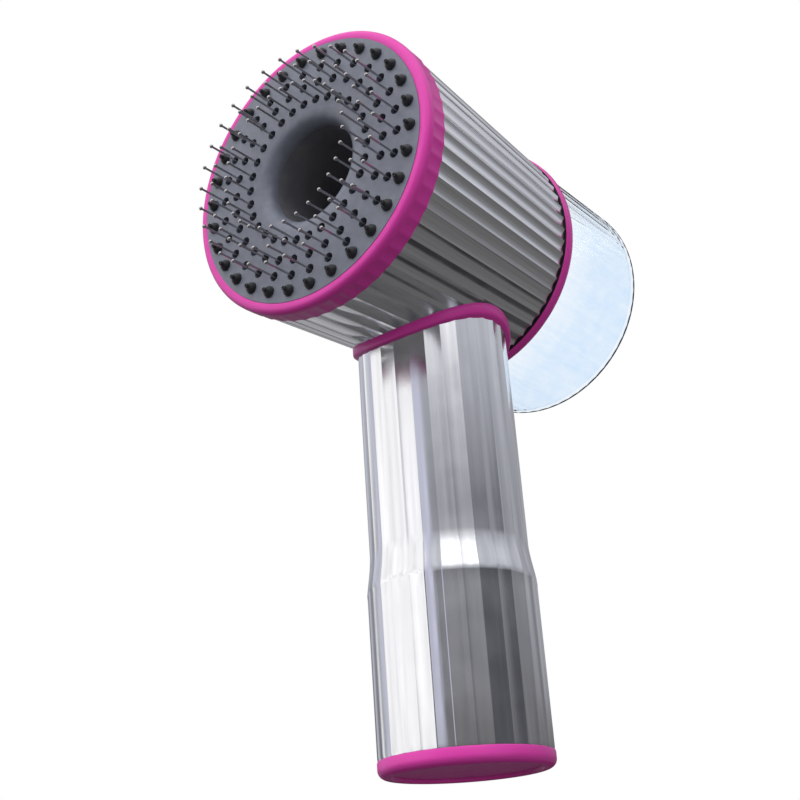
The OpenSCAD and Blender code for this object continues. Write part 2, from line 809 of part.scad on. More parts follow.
module circuit_board() {
    color("darkgreen") translate([-board_w / 2, board_y, board_z]) cube([board_w, board_t, board_h]);
    color("black") translate([-5, board_y + board_t, board_z + 2]) cube([7, 1, 5]);
    color("ivory") translate([4, board_y + board_t, board_z + 1.5]) cube([5, 1.6, 4]);
}

module power_switch() {
    color("gray") translate([-3, board_y + board_t + seat, button_z - 3]) cube([6, switch_h, 6]);
    color("black") translate([0, board_y + board_t + switch_h, button_z]) rotate([-90, 0, 0])
        cylinder(r = 1.6, h = 0.3, $fn = 32);
}

module power_button() {
    inner = board_y + board_t + 1.4;
    hollow = switch_h + 0.3 + button_travel - 1.3;
    color("mediumvioletred") translate([0, inner, button_z]) rotate([-90, 0, 0]) difference() {
        union() {
            cylinder(r = button_r, h = button_y - inner - 0.8);
            translate([0, 0, button_y - inner - 0.8]) cylinder(r1 = button_r, r2 = button_r - 0.8, h = 0.8);
        }
        translate([0, 0, -cut]) cylinder(r = 4.7, h = hollow + cut);
    }
}

drum_shell();
front_ring();
face_plate();
funnel_tube();
spray_nozzles();
manifold();
pin_carrier();
brush_pins();
slider_arm();
slider_knob();
knob_screw();
inner_frame();
frame_screws();
jet_nozzle();
jet_tube();
tee_fitting();
manifold_tube();
rear_ring();
tank_socket();
socket_seal();
tank();
tank_closure();
valve_poppet();
valve_spring();
handle_shell();
handle_collar();
neck_screws();
end_cap();
cap_seal();
contact_plate();
battery_holder();
battery_cells();
cell_springs();
pump_bracket();
pump_housing();
pump_lid();
pump_rotor();
motor_shaft();
pump_motor();
inlet_tube();
outlet_tube();
circuit_board();
power_switch();
power_button();
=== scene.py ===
import json
import math

import bmesh
import bpy
from mathutils import Matrix, Vector


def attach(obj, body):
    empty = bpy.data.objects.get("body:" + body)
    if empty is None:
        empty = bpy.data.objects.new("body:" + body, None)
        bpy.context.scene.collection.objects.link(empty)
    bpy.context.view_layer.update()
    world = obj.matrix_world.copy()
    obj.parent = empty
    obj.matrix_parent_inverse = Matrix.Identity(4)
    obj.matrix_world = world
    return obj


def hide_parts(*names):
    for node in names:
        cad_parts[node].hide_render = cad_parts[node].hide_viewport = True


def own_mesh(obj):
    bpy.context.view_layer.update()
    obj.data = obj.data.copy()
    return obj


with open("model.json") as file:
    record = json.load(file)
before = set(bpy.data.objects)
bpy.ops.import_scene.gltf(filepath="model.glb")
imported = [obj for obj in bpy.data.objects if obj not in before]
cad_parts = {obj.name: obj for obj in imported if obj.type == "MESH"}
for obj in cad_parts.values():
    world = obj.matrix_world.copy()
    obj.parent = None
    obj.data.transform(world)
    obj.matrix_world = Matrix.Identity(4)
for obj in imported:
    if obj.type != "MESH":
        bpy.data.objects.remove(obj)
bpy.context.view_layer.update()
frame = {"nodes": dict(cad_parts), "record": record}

# Shapes are drawn in millimetres, as in the CAD, and come to metres when a piece is finished. A shape of the head is
# drawn round the Z axis, its heights being distances forward of the handle's axis, and HEAD lays it in its place.
MM = 0.001
HEAD_Z = 154.2
HEAD = Matrix.Translation((0, 0, HEAD_Z)) @ Matrix.Rotation(math.pi / 2, 4, "X")

DRUM_BACK, DRUM_FRONT = -20.2, 45.8
DRUM_BACK_R, DRUM_FRONT_R = 37.8, 41.5
FACE, FACE_R, PLATE = 52.2, 39.1, 3.0
THROAT_R, THROAT_WALL, THROAT_BACK = 14.5, 1.8, FACE - 8.6
COLLAR = 3.0
BUTTON_Z = 95.7

# Degrees from straight in front round to the camera.
CAMERA_SIDE = 37.25


def put(name, data):
    """A new object in the scene, from its data."""
    made = bpy.data.objects.new(name, data)
    bpy.context.scene.collection.objects.link(made)
    return made


# ---------- camera ----------

def look(name, place, right, up, back, lens, shift):
    """A camera at a place in metres. Its turn is given by which ways its picture's right, its top and its back face."""
    data = bpy.data.cameras.new(name)
    data.sensor_width = 36
    data.lens = lens
    data.shift_y = shift
    data.clip_start = 0.01
    camera = put(name, data)
    turn = Matrix((right, up, back)).transposed().to_4x4()
    camera.matrix_world = Matrix.Translation(place) @ turn
    return camera


bpy.context.scene.camera = look(
    "low_front_camera", (0.17967, -0.25487, -0.03233),
    (0.77946, 0.62322, -0.06358), (0.32007, -0.30895, 0.89561), (0.53851, -0.71844, -0.44028), 53.528, -0.075)


# ---------- materials ----------

def linear(code):
    """A web colour, as the linear light that the shaders add up."""
    parts = [int(code[i:i + 2], 16) / 255 for i in (1, 3, 5)]
    return tuple(c / 12.92 if c <= 0.04045 else ((c + 0.055) / 1.055) ** 2.4 for c in parts) + (1,)


def every(size_mm):
    """Noise scale whose features are about this far apart."""
    return 1 / (size_mm * MM)


def add(tree, kind, settings=None, stops=None, **links):
    """Adds one node with its settings and its links. A link is a socket's value or another node's socket, under the
    socket's name, or under i and its number where names repeat. stops are the places and colours of a colour ramp."""
    made = tree.nodes.new(kind)
    for name, value in (settings or {}).items():
        setattr(made, name, value)
    if stops:
        band = made.color_ramp.elements
        for _ in stops[2:]:
            band.new(0.5)
        for element, (place, colour) in zip(band, stops):
            element.position = place
            element.color = colour if isinstance(colour, tuple) else (colour, colour, colour, 1)
    for name, value in links.items():
        socket = made.inputs[int(name[1:]) if name[0] == "i" and name[1:].isdigit() else name.replace("_", " ")]
        if isinstance(value, bpy.types.NodeSocket):
            tree.links.new(value, socket)
        else:
            socket.default_value = value
    return made


def finish(name, **sockets):
    """A new material with one Principled shader, its tree for more nodes, and where a point lies on its piece."""
    material = bpy.data.materials.new(name)
    material.use_nodes = True
    tree = material.node_tree
    tree.nodes.clear()
    shader = add(tree, "ShaderNodeBsdfPrincipled", **sockets)
    add(tree, "ShaderNodeOutputMaterial", Surface=shader.outputs["BSDF"])
    where = add(tree, "ShaderNodeTexCoord").outputs["Object"]
    return material, tree, shader.inputs, where


def plated_metal(name, axis, run):
    """Vacuum-plated ABS under lacquer: a near mirror, whose faint runs along the flutes draw reflections out in
    streaks. axis is the one that the flutes stand round, and run stretches the streaks along it."""
    m, tree, face, where = finish(name, Metallic=1.0, Base_Color=linear("#EDEDF0"), Anisotropic=0.7,
                                  Anisotropic_Rotation=0.25)
    around = add(tree, "ShaderNodeTangent", {"direction_type": "RADIAL", "axis": axis}).outputs["Tangent"]
    tree.links.new(around, face["Tangent"])
    along = add(tree, "ShaderNodeMapping", Vector=where, Scale=run).outputs["Vector"]
    streak = add(tree, "ShaderNodeTexNoise", Vector=along, Scale=every(1.6), Detail=3.0, Roughness=0.6).outputs["Fac"]
    cloud = add(tree, "ShaderNodeTexNoise", Vector=where, Scale=every(9), Detail=2.0).outputs["Fac"]
    both = add(tree, "ShaderNodeMath", {"operation": "MULTIPLY_ADD"}, i0=streak, i1=0.5, i2=cloud).outputs[0]
    dull = add(tree, "ShaderNodeValToRGB", stops=[(0.45, 0.1), (1.0, 0.2)], Fac=both).outputs["Color"]
    tree.links.new(dull, face["Roughness"])
    bump = add(tree, "ShaderNodeBump", Height=streak, Distance=0.02 * MM, Strength=0.55).outputs["Normal"]
    tree.links.new(bump, face["Normal"])
    return m


def magenta_abs(name, shine, coat, low, high):
    """Moulded magenta ABS: deep colour under a slightly soft gloss, or nearly dull where the tool is spark-eroded.
    Its grain is drawn coarser than the real one, which is too fine to show."""
    m, tree, face, where = finish(name, IOR=1.46, Specular_IOR_Level=shine, Coat_Weight=coat, Coat_Roughness=0.16)
    cloud = add(tree, "ShaderNodeTexNoise", Vector=where, Scale=every(14), Detail=2.0).outputs["Fac"]
    tint = add(tree, "ShaderNodeValToRGB", stops=[(0.3, linear("#D23C9F")), (0.7, linear("#D743A6"))], Fac=cloud)
    tree.links.new(tint.outputs["Color"], face["Base Color"])
    skin = add(tree, "ShaderNodeTexNoise", Vector=where, Scale=every(1.4), Detail=2.0).outputs["Fac"]
    dull = add(tree, "ShaderNodeValToRGB", stops=[(0.3, low), (0.7, high)], Fac=skin)
    tree.links.new(dull.outputs["Color"], face["Roughness"])
    bump = add(tree, "ShaderNodeBump", Height=skin, Distance=0.01 * MM, Strength=0.25)
    tree.links.new(bump.outputs["Normal"], face["Normal"])
    return m


def satin_grey():
    """Moulded grey ABS from a fine-blasted tool: an even grey with a broad soft sheen. Its grain is drawn 0.3 mm
    apart, coarser than the real one, which is too fine to show."""
    m, tree, face, where = finish("satin_grey_abs", Roughness=0.36, IOR=1.5)
    cloud = add(tree, "ShaderNodeTexNoise", Vector=where, Scale=every(2.2), Detail=3.0).outputs["Fac"]
    tint = add(tree, "ShaderNodeValToRGB", stops=[(0.3, linear("#666A76")), (0.7, linear("#6F7380"))], Fac=cloud)
    tree.links.new(tint.outputs["Color"], face["Base Color"])
    grit = add(tree, "ShaderNodeTexNoise", Vector=where, Scale=every(0.3), Detail=2.0).outputs["Fac"]
    bump = add(tree, "ShaderNodeBump", Height=grit, Distance=0.012 * MM, Strength=0.4)
    tree.links.new(bump.outputs["Normal"], face["Normal"])
    return m


def gloss_dark():
    """Moulded dark grey ABS from a polished tool: the inside of the funnel, nearly black with long soft highlights."""
    m, tree, face, where = finish("polished_dark_abs", Roughness=0.26, IOR=1.5)
    cloud = add(tree, "ShaderNodeTexNoise", Vector=where, Scale=every(6), Detail=2.0).outputs["Fac"]
    tint = add(tree, "ShaderNodeValToRGB", stops=[(0.3, linear("#66666B")), (0.7, linear("#737378"))], Fac=cloud)
    tree.links.new(tint.outputs["Color"], face["Base Color"])
    wave = add(tree, "ShaderNodeTexNoise", Vector=where, Scale=every(2.5), Detail=1.0).outputs["Fac"]
    bump = add(tree, "ShaderNodeBump", Height=wave, Distance=0.012 * MM, Strength=0.3)
    tree.links.new(bump.outputs["Normal"], face["Normal"])
    return m


def black_silicone():
    """Moulded black silicone rubber: near black with a dusty, wide highlight. The dust is drawn coarser than real dust,
    which is too fine to show."""
    m, tree, face, where = finish("black_silicone", IOR=1.42, Sheen_Weight=0.15, Sheen_Roughness=0.5)
    dust = add(tree, "ShaderNodeTexNoise", Vector=where, Scale=every(0.6), Detail=3.0).outputs["Fac"]
    tint = add(tree, "ShaderNodeValToRGB", stops=[(0.3, linear("#1C1D20")), (0.75, linear("#2B2D31"))], Fac=dust)
    tree.links.new(tint.outputs["Color"], face["Base Color"])
    dull = add(tree, "ShaderNodeValToRGB", stops=[(0.3, 0.36), (0.8, 0.52)], Fac=dust)
    tree.links.new(dull.outputs["Color"], face["Roughness"])
    bump = add(tree, "ShaderNodeBump", Height=dust, Distance=0.01 * MM, Strength=0.5)
    tree.links.new(bump.outputs["Normal"], face["Normal"])
    return m


def moulded(name, low, high, roughness, size_mm=0.5):
    """Moulded engineering plastic: an even colour with a grain from the tool, drawn size_mm apart, which is coarser
    than the real one, too fine to show."""
    m, tree, face, where = finish(name, Roughness=roughness, IOR=1.5)
    cloud = add(tree, "ShaderNodeTexNoise", Vector=where, Scale=every(size_mm * 6), Detail=3.0).outputs["Fac"]
    tint = add(tree, "ShaderNodeValToRGB", stops=[(0.3, linear(low)), (0.7, linear(high))], Fac=cloud)
    tree.links.new(tint.outputs["Color"], face["Base Color"])
    grit = add(tree, "ShaderNodeTexNoise", Vector=where, Scale=every(size_mm), Detail=2.0).outputs["Fac"]
    bump = add(tree, "ShaderNodeBump", Height=grit, Distance=0.015 * MM, Strength=0.4)
    tree.links.new(bump.outputs["Normal"], face["Normal"])
    return m


def drawn_metal(name, code, low, high, run=(1, 1, 0.05)):
    """Drawn or turned metal: fine lines along it break its highlight into threads, or where run is even, as on stamped
    brass, a plain grain clouds it. They are drawn 0.12 mm apart, coarser than the real ones, too fine to show."""
    m, tree, face, where = finish(name, Metallic=1.0, Base_Color=linear(code))
    along = add(tree, "ShaderNodeMapping", Vector=where, Scale=run).outputs["Vector"]
    lines = add(tree, "ShaderNodeTexNoise", Vector=along, Scale=every(0.12), Detail=2.0, Roughness=0.5).outputs["Fac"]
    dull = add(tree, "ShaderNodeValToRGB", stops=[(0.3, low), (0.7, high)], Fac=lines)
    tree.links.new(dull.outputs["Color"], face["Roughness"])
    bump = add(tree, "ShaderNodeBump", Height=lines, Distance=0.004 * MM, Strength=0.3)
    tree.links.new(bump.outputs["Normal"], face["Normal"])
    return m


def clear_tank(name, low, high, through):
    """Moulded clear styrene with a breath of blue: bright and glassy, its tint in long runs. Its colour is painted
    whiter beside the rear ring, a painted light; called with dark colours it gives the rim a painted shade for how it
    looks seen edge on. Its index is kept low, so the walls' ends aren't black where light would run along inside them."""
    m, tree, face, where = finish(name, Roughness=0.02, IOR=1.14, Specular_IOR_Level=0.4, Transmission_Weight=through)
    along = add(tree, "ShaderNodeMapping", Vector=where, Scale=(1, 0.02, 1)).outputs["Vector"]
    cloud = add(tree, "ShaderNodeTexNoise", Vector=along, Scale=every(3), Detail=2.0).outputs["Fac"]
    deep = add(tree, "ShaderNodeSeparateXYZ", Vector=where).outputs["Y"]
    # Painted light: the colour runs whiter towards the rear ring.
    near = add(tree, "ShaderNodeMapRange", Value=deep, From_Min=25 * MM, From_Max=41 * MM, To_Min=0.6, To_Max=0.25)
    pale = add(tree, "ShaderNodeMath", {"operation": "MULTIPLY_ADD"}, i0=cloud, i1=0.5,
               i2=near.outputs["Result"]).outputs[0]
    tint = add(tree, "ShaderNodeValToRGB", stops=[(0.42, linear(low)), (0.85, linear(high))], Fac=pale)
    tree.links.new(tint.outputs["Color"], face["Base Color"])
    wave = add(tree, "ShaderNodeTexNoise", Vector=where, Scale=every(4), Detail=2.0).outputs["Fac"]
    bump = add(tree, "ShaderNodeBump", Height=wave, Distance=0.004 * MM, Strength=0.3)
    tree.links.new(bump.outputs["Normal"], face["Normal"])
    return m


def clear_tube():
    """Extruded soft clear tube: slightly milky, with a soft gloss."""
    m, tree, face, where = finish("clear_tubing", IOR=1.4, Transmission_Weight=0.8)
    cloud = add(tree, "ShaderNodeTexNoise", Vector=where, Scale=every(2), Detail=2.0).outputs["Fac"]
    tint = add(tree, "ShaderNodeValToRGB", stops=[(0.3, linear("#DFE8EA")), (0.7, linear("#EEF4F5"))], Fac=cloud)
    tree.links.new(tint.outputs["Color"], face["Base Color"])
    dull = add(tree, "ShaderNodeValToRGB", stops=[(0.3, 0.12), (0.7, 0.25)], Fac=cloud)
    tree.links.new(dull.outputs["Color"], face["Roughness"])
    return m


PLATED_GRIP = plated_metal("vacuum_plated_abs_grip", "Z", (1, 1, 0.02))
PLATED_DRUM = plated_metal("vacuum_plated_abs_drum", "Y", (1, 0.02, 1))
MAGENTA = magenta_abs("gloss_magenta_abs", 0.28, 0.1, 0.3, 0.36)
MAGENTA_DULL = magenta_abs("spark_eroded_magenta_abs", 0.06, 0.0, 0.5, 0.6)
GREY = satin_grey()
DARK = gloss_dark()
RUBBER = black_silicone()
WHITE = moulded("natural_white_abs", "#D9DADB", "#E6E6E4", 0.38)
NYLON = moulded("black_glass_nylon", "#222327", "#2D2E33", 0.5, 0.3)
PIN_STEEL = drawn_metal("drawn_stainless_wire", "#C9C4C4", 0.12, 0.24, (1, 0.05, 1))
SCREW_STEEL = drawn_metal("zinc_plated_steel", "#B4B5B8", 0.22, 0.38)
CAN_STEEL = drawn_metal("drawn_steel_can", "#A5A7AB", 0.2, 0.36)
BRASS = drawn_metal("stamped_brass", "#C9A24A", 0.22, 0.38, (1, 1, 1))
TUBING = clear_tube()
TANK = clear_tank("clear_blue_styrene", "#E9F4FF", "#FFFFFF", 1.0)
# The rim's material is the clear styrene in dark colours: a painted shade for the rim seen edge on.
TANK_RIM_PAINTED_SHADE = clear_tank("clear_styrene_rim_painted_shade", "#2C3646", "#364152", 0.25)
WRAP = moulded("shrink_wrap_blue_pvc", "#2B5C8C", "#346A9E", 0.3, 1.0)
BOARD = moulded("solder_mask_green", "#1E5B37", "#256B42", 0.32, 0.4)

SLOT_FINISH = {
    "bright_metal": PLATED_DRUM, "magenta": MAGENTA, "face_grey": GREY, "black_rubber": RUBBER,
    "white_plastic": WHITE, "dark_plastic": NYLON, "steel": SCREW_STEEL, "motor_steel": CAN_STEEL,
    "clear_tube": TUBING, "clear_tank": TANK, "cell_wrap": WRAP, "brass": BRASS, "board_green": BOARD,
}


# ---------- shaping ----------

def parts_of(geometry, kind):
    """The points, edges or faces among what an operator gives back."""
    return [g for g in geometry if isinstance(g, kind)]


def all_of(bm):
    """Every point, edge and face of a shape."""
    return bm.verts[:] + bm.edges[:] + bm.faces[:]


def to_mesh(name, bm):
    """Makes a shape a mesh, and frees the shape."""
    mesh = bpy.data.meshes.new(name)
    bm.to_mesh(mesh)
    bm.free()
    return mesh


def join(bm, other):
    """Adds a second shape to a first, and frees the second."""
    mesh = to_mesh("joined", other)
    bm.from_mesh(mesh)
    bpy.data.meshes.remove(mesh)


def grow(bm, edges):
    """Extrudes a loop of edges, and gives the new points and the new loop."""
    grown = bmesh.ops.extrude_edge_only(bm, edges=edges)["geom"]
    verts = parts_of(grown, bmesh.types.BMVert)
    held = set(verts)
    return verts, [e for e in parts_of(grown, bmesh.types.BMEdge) if all(v in held for v in e.verts)]


def close_core(bm, heights, reach):
    """Fills the two small openings at a turned shape's axis, and deletes the narrow tube between them."""
    for height in heights:
        ring = [e for e in bm.edges if all(abs(v.co.z - height) < 1e-3 and v.co.xy.length < reach for v in e.verts)]
        bmesh.ops.contextual_create(bm, geom=ring)
    core = [f for f in bm.faces if all(v.co.xy.length < reach for v in f.verts) and abs(f.normal.z) < 0.5]
    bmesh.ops.delete(bm, geom=core, context="FACES_ONLY")


def drum_radius(s):
    """Outer radius of the drum at a distance s forward of the handle's axis."""
    return DRUM_BACK_R + (DRUM_FRONT_R - DRUM_BACK_R) * (s - DRUM_BACK) / (DRUM_FRONT - DRUM_BACK)


def saddle(x, y, gap):
    """Height of the drum's underside, grown by a gap, over a point beside the handle's axis."""
    s = min(max(-y, DRUM_BACK), DRUM_FRONT)
    return HEAD_Z - math.sqrt((drum_radius(s) + gap) ** 2 - x * x)


def settle(verts, level, flutes):
    """Moves one ring of points to a level: its height, its ridge radius and how deep its hollows are."""
    height, radius, depth = level
    pitch = 2 * math.pi / flutes
    nudge = 1e-6  # keeps a ridge's own points on the ridge
    for v in verts:
        angle = math.atan2(v.co.y, v.co.x)
        share = (angle / pitch + nudge) % 1.0
        r = radius - 4 * depth * share * (1 - share)
        v.co = Vector((math.cos(angle) * r, math.sin(angle) * r, height))


def ring_up(levels, flutes=60, steps=8, closed=True):
    """A turned or fluted wall, ring by ring. A closed one ends where it began."""
    bm = bmesh.new()
    verts = bmesh.ops.create_circle(bm, segments=flutes * steps, radius=1)["verts"]
    edges = list(bm.edges)
    settle(verts, levels[0], flutes)
    for level in levels[1:] + ([levels[0]] if closed else []):
        verts, edges = grow(bm, edges)
        settle(verts, level, flutes)
    bmesh.ops.remove_doubles(bm, verts=bm.verts, dist=1e-4)
    return bm


def piece(name, bm, body, slot, stands_for, place=None, sharp=32, material=None):
    """Puts a shape, drawn in millimetres, in its place as a piece that rides on a body and stands for CAD nodes. Edges
    that bend by more than sharp, in degrees, stay crisp."""
    if place is not None:
        bmesh.ops.transform(bm, matrix=place, verts=bm.verts)
    bmesh.ops.scale(bm, vec=(MM, MM, MM), verts=bm.verts)
    bmesh.ops.remove_doubles(bm, verts=bm.verts, dist=2e-7)
    bmesh.ops.recalc_face_normals(bm, faces=bm.faces)
    mesh = to_mesh(name, bm)
    mesh.shade_smooth()
    mesh.set_sharp_from_angle(angle=math.radians(sharp))
    mesh.materials.append(material or SLOT_FINISH[slot])
    made = put(name, mesh)
    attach(made, body)
    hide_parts(*stands_for)
    return made


def refinish(made, material, chosen):
    """Gives some of a finished piece's faces a second material. chosen is asked of each face, with how far it lies
    forward of the handle's axis and how far from the head's axis, in millimetres."""
    made.data.materials.append(material)
    for f in made.data.polygons:
        place = f.center / MM
        if chosen(f, -place.y, math.hypot(place.x, place.z - HEAD_Z)):
            f.material_index = 1


def arc(centre, radius, start, end, steps):
    """Points along a quarter or more of a circle, as (height, radius) pairs of a turned profile."""
    height, out = centre
    angles = [math.radians(start + (end - start) * k / steps) for k in range(steps + 1)]
    return [(height + radius * math.sin(a), out + radius * math.cos(a)) for a in angles]


def rounded(profile):
    """A profile's (height, radius) pairs, as levels without flutes."""
    return [(h, r, 0.0) for h, r in profile]


# ---------- drum ----------

def drum():
    """Fluted sleeve with hollows between sharp ridges, a slot on top for the slider and a stub for the handle."""
    wall, depth = 2.0, 0.45
    slot_back, slot_front, slot_half = 1.0, 22.5, 6  # the last in degrees round the drum
    places = [DRUM_BACK, -10.0, slot_back, 12.0, slot_front, 34.0, DRUM_FRONT]
    outside = [(s, drum_radius(s), depth) for s in places]
    inside = [(s, drum_radius(s) - wall, 0.0) for s in reversed(places)]
    bm = ring_up(outside + inside)
    slot = []
    for f in bm.faces:
        middle = f.calc_center_median()
        across = abs(math.degrees(math.atan2(middle.y, middle.x)) - 90)
        if slot_back < middle.z < slot_front and across < slot_half:
            slot.append(f)
    bmesh.ops.delete(bm, geom=slot, context="FACES")
    bmesh.ops.bridge_loops(bm, edges=[e for e in bm.edges if e.is_boundary])
    bmesh.ops.transform(bm, matrix=HEAD, verts=bm.verts)
    low, top, outer, bore, sunk = 107.5, 116.0, 19.1, 15.0, 1.0
    stub = ring_up(rounded([(low, outer), (low, bore), (top, bore), (top, outer)]), 12, 8)
    for v in stub.verts:
        if v.co.z > top - 1:
            v.co.z = saddle(v.co.x, v.co.y, -sunk)
    join(bm, stub)
    piece("drum_sleeve", bm, "casing", "bright_metal", ["drum_shell"])


# ---------- rings ----------

def front_ring():
    """Magenta ring: hollow flutes run out of the drum and die away under a round lip."""
    r, lip_r, depth, lap, back = 42.0, 1.8, 0.27, 0.8, DRUM_FRONT
    seat, spigot, spigot_in = FACE_R + 0.03, 39.1, 38.3
    lip = arc((FACE - lip_r, r - lip_r), lip_r, 0, 90, 10)
    outside = [(back - lap, 41.85, depth), (back + 1.8, 41.97, depth), (back + 3.9, r, depth), (back + 4.05, r, 0.24),
               (back + 4.12, r, 0.0), (FACE - 2.0, r, 0.0)]
    hidden = [(FACE, 39.9), (FACE - 0.05, 39.4), (FACE - 0.15, seat), (FACE - PLATE, seat),
              (FACE - PLATE - 0.05, spigot_in), (back - 4.0, spigot_in), (back - 4.0, spigot), (back - lap, spigot)]
    bm = ring_up(outside + rounded(lip[1:-1] + hidden))
    piece("front_ring_lip", bm, "casing", "magenta", ["front_ring"], HEAD, 28)


def rear_ring():
    """Thin magenta ring between the drum and the tank, crowned, with a groove beside the drum painted black: a painted
    shadow.
    """
    front, back, inner, groove, crown = -20.25, -24.3, 33.9, 36.6, 38.5
    shadow_gap_r, shadow_gap_back = 37.6, -20.83
    profile = [(front, inner), (front, groove), (-20.8, groove), (-20.85, 38.0), (-21.2, 38.35), (-22.0, crown),
               (-23.3, crown), (-24.0, 38.3), (back, 37.9), (back, inner)]
    bm = ring_up(rounded(profile), 60, 4)
    made = piece("rear_ring_band", bm, "casing", "magenta", ["rear_ring"], HEAD, 40)
    # The groove's floor beside the drum gets the black rubber material, a painted shadow gap.
    refinish(made, RUBBER, lambda f, forward, r: r < shadow_gap_r and forward > shadow_gap_back)


# ---------- face ----------

# Each ring has thirty holes, the first of them half a pitch round. Holes are given by their radius.
HOLES, HALF_PITCH = 30, math.radians(6)
PIN_RINGS = (21.4, 27.0, 31.6)
NOZZLE_RING = 36.0
PIN_HOLE, NOZZLE_HOLE = 1.4, 1.75


def face_plate():
    """Grey plate with ninety pin holes and thirty nozzle holes, its middle flared into the funnel's throat."""
    flare, ease, edge_cuts, inside_hole, inside_edge = 4.1, 0.14, 7, 0.96, FACE_R - 0.6
    mouth = THROAT_R + flare
    bm = bmesh.new()
    first = [bmesh.ops.create_vert(bm, co=(r * math.cos(HALF_PITCH), r * math.sin(HALF_PITCH), FACE))["vert"][0]
             for r in (mouth, *PIN_RINGS, NOZZLE_RING, FACE_R)]
    spoke = [bm.edges.new(pair) for pair in zip(first, first[1:])]
    bmesh.ops.spin(bm, geom=first + spoke, cent=(0, 0, 0), axis=(0, 0, 1), angle=2 * math.pi, steps=HOLES,
                   use_merge=True)
    bmesh.ops.remove_doubles(bm, verts=bm.verts, dist=1e-3)
    holes = []
    for ring, size in [(r, PIN_HOLE) for r in PIN_RINGS] + [(NOZZLE_RING, NOZZLE_HOLE)]:
        marks = [v for v in bm.verts if abs(v.co.xy.length - ring) < 0.01 and len(v.link_edges) == 4]
        for centre in [v.co.copy() for v in marks]:
            v = min(bm.verts, key=lambda w: (w.co - centre).length_squared)
            cut = bmesh.ops.bevel(bm, geom=[v], offset=size, offset_type="OFFSET", segments=5, profile=0.5,
                                  affect="VERTICES", material=-1)
            for w in cut["verts"]:
                w.co = centre + (w.co - centre).normalized() * size
            holes.append((centre, size))
    drop = [f for f in bm.faces if any((f.calc_center_median() - c).length < inside_hole * s for c, s in holes)]
    bmesh.ops.delete(bm, geom=drop, context="FACES")
    for radius in (mouth, FACE_R):
        edge = [e for e in bm.edges if e.is_boundary and all(abs(v.co.xy.length - radius) < 0.05 for v in e.verts)]
        split = bmesh.ops.bisect_edges(bm, edges=edge, cuts=edge_cuts)["geom_split"]
        for w in parts_of(split, bmesh.types.BMVert):
            w.co.xy = w.co.xy.normalized() * radius
    grown = bmesh.ops.extrude_face_region(bm, geom=list(bm.faces), use_keep_orig=True)["geom"]
    bmesh.ops.translate(bm, vec=(0, 0, -PLATE), verts=parts_of(grown, bmesh.types.BMVert))
    mouth_wall = [f for f in bm.faces if abs(f.normal.z) < 0.2
                  and all(abs(v.co.xy.length - mouth) < 0.05 for v in f.verts)]
    bmesh.ops.delete(bm, geom=mouth_wall, context="FACES_ONLY")
    rims = [e for e in bm.edges if len(e.link_faces) == 2 and all(abs(v.co.z - FACE) < 1e-3 for v in e.verts)
            and e.calc_face_angle(0) > 1.0 and all(v.co.xy.length < inside_edge for v in e.verts)]
    bmesh.ops.bevel(bm, geom=rims, offset=ease, offset_type="OFFSET", segments=2, profile=0.5,
                    affect="EDGES", material=-1, clamp_overlap=True)
    edges = [e for e in bm.edges if e.is_boundary and all(abs(v.co.z - FACE) < 1e-3 and v.co.xy.length < mouth + 0.1
                                                          for v in e.verts)]
    curve = [(FACE - flare + flare * math.cos(a), mouth - flare * math.sin(a))
             for a in [math.radians(7.5 * k) for k in range(1, 13)]]
    outer, back = THROAT_R + THROAT_WALL, FACE - PLATE
    for height, radius in curve + [(THROAT_BACK, THROAT_R), (THROAT_BACK, outer), (back, outer), (back, mouth)]:
        verts, edges = grow(bm, edges)
        for v in verts:
            v.co.xy = v.co.xy.normalized() * radius
            v.co.z = height
    bmesh.ops.remove_doubles(bm, verts=bm.verts, dist=1e-3)
    made = piece("face_plate_disc", bm, "casing", "face_grey", ["face_plate"], HEAD, 30)
    refinish(made, DARK, lambda f, forward, r: forward < FACE - flare and r < THROAT_R + 0.3)


def funnel():
    """Smooth tube behind the face, closed by a floor round the jet."""
    bore, outer = THROAT_R, THROAT_R + THROAT_WALL
    deep, back, flange, flange_r, jet_hole = 17.0, 12.0, 14.0, 19.5, 6.1
    profile = [(THROAT_BACK, outer), (THROAT_BACK, bore), (deep + 0.5, bore), (deep + 0.15, bore - 0.15),
               (deep, bore - 0.5), (deep, jet_hole), (back, jet_hole), (back, flange_r), (flange, flange_r),
               (flange, outer)]
    bm = ring_up(rounded(profile), 60, 2)
    piece("funnel_wall", bm, "casing", "face_grey", ["funnel_tube"], HEAD, 40, DARK)


def nozzles():
    """Thirty rubber nozzles on one mat: each a low dome that ends in a short spout with a rolled tip and a pinhole."""
    profile = [(FACE - 3.2, 1.64), (FACE - 0.1, 1.64), (FACE + 0.45, 1.6), (FACE + 0.9, 1.45), (FACE + 1.2, 1.16),
               (FACE + 1.4, 0.84), (FACE + 1.55, 0.68), (FACE + 2.15, 0.64), (FACE + 2.35, 0.56), (FACE + 2.4, 0.44),
               (FACE + 2.38, 0.3), (FACE + 2.0, 0.26)]
    bm = ring_up(rounded(profile), 1, 14, closed=False)
    bmesh.ops.holes_fill(bm, edges=[e for e in bm.edges if e.is_boundary and e.verts[0].co.z > FACE], sides=0)
    bmesh.ops.translate(bm, vec=(NOZZLE_RING, 0, 0), verts=bm.verts)
    bmesh.ops.rotate(bm, cent=(0, 0, 0), matrix=Matrix.Rotation(HALF_PITCH, 3, "Z"), verts=bm.verts)
    bmesh.ops.spin(bm, geom=all_of(bm), cent=(0, 0, 0), axis=(0, 0, 1), angle=2 * math.pi * (HOLES - 1) / HOLES,
                   steps=HOLES - 1, use_duplicate=True)
    low, high, inner, outer = FACE - 4.5, FACE - PLATE, 33.3, 38.3
    join(bm, ring_up(rounded([(low, inner), (low, outer), (high, outer), (high, inner)]), 60, 2))
    piece("nozzle_mat", bm, "casing", "black_rubber", ["spray_nozzles"], HEAD, 40)


# ---------- handle ----------

